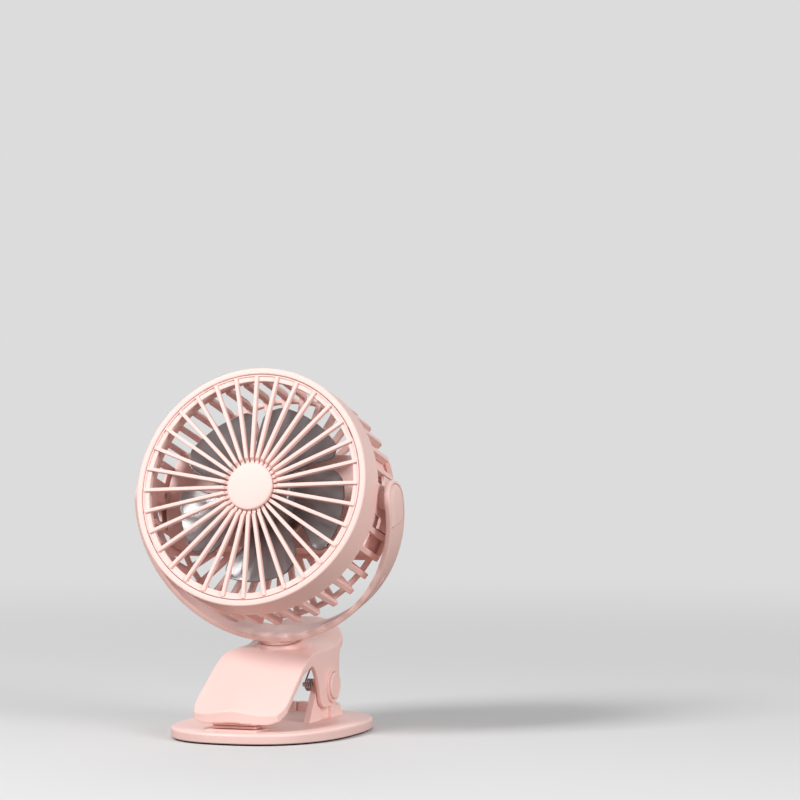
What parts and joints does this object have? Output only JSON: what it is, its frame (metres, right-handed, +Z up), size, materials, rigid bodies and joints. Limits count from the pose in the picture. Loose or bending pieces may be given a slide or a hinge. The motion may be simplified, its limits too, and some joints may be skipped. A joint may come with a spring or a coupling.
{
  "type": "clip-on fan",
  "caption": "Clip-on desk fan: a guarded round fan head tilts in a half-round yoke, which swivels on the sprung upper jaw of a clip whose lower jaw is an oval foot.",
  "frame": {"origin": "centre of the underside of the anti-slip pad on the foot, on the surface it stands on", "axes": "+Z up; the jaw of the clip opens towards -Y and the thumb tab is at +Y; +X is the clip's right-hand side seen from behind"},
  "size_m": [0.154, 0.1404, 0.2032],
  "materials": {
    "pink_plastic": "satin moulded ABS, pale pink",
    "pink_grip": "matt, soft, pale pink",
    "black_rubber": "matt black",
    "steel": "bright",
    "smoked_plastic": "smoky, glossy",
    "copper": "enamelled copper windings on a laminated core",
    "magnet": "matt dark grey",
    "bronze": "sintered, dull",
    "foil": "silvery pouch foil",
    "board_green": "solder mask, satin",
    "clear_plastic": "milky, glossy"
  },
  "bodies": {
    "base": {"anti_slip_pad": "black_rubber", "base_plate": "pink_plastic", "lower_jaw_pad": "pink_grip", "pivot_pin_left": "steel", "pivot_pin_right": "steel", "torsion_spring_left": "steel", "torsion_spring_right": "steel"},
    "clip": {"clip_arm": "pink_plastic", "upper_jaw_pad": "pink_grip", "pivot_cap_left": "pink_plastic", "pivot_cap_right": "pink_plastic"},
    "yoke": {"yoke": "pink_plastic", "yoke_end_cap_left": "pink_plastic", "yoke_end_cap_right": "pink_plastic", "swivel_washer": "steel", "swivel_screw": "steel"},
    "head": {"rear_housing": "pink_plastic", "front_grille": "pink_plastic", "centre_cap": "pink_plastic", "chamber_cover": "pink_plastic", "cover_screw_left": "steel", "cover_screw_right": "steel", "friction_ring_left": "black_rubber", "friction_ring_right": "black_rubber", "tilt_screw_left": "steel", "tilt_screw_right": "steel", "motor_stator": "copper", "shaft_bearing_front": "bronze", "shaft_bearing_rear": "bronze", "battery_cell": "foil", "circuit_board": "board_green", "usb_socket": "steel", "light_pipe": "clear_plastic"},
    "rotor": {"fan_rotor": "smoked_plastic", "magnet_ring": "magnet", "motor_shaft": "steel"},
    "button": {"power_button": "pink_plastic"}
  },
  "joints": [
    {"name": "clip_pivot", "type": "hinge", "parent": "base", "child": "clip", "pos_m": [0, 0.0236, 0.025], "axis": [-1, 0, 0], "range_deg": [0, 25], "stiffness_Nm_per_rad": 0.5, "springref_deg": -57.3, "deforming": ["torsion_spring_left", "torsion_spring_right"]},
    {"name": "yoke_swivel", "type": "hinge", "parent": "clip", "child": "yoke", "pos_m": [0, 0.0107, 0.0528], "axis": [0, -0.2233, 0.9748], "continuous": true},
    {"name": "head_tilt", "type": "hinge", "parent": "yoke", "child": "head", "pos_m": [0, -0.00716, 0.13078], "axis": [1, 0, 0], "continuous": true},
    {"name": "rotor_spin", "type": "hinge", "parent": "head", "child": "rotor", "pos_m": [0, -0.00716, 0.13078], "axis": [0, 0.9573, -0.289], "continuous": true},
    {"name": "power_button_press", "type": "slide", "parent": "head", "child": "button", "axis": [0, -0.9573, 0.289], "range_m": [0, 0.0006], "stiffness_N_per_m": 600, "springref_m": -0.001}
  ]
}
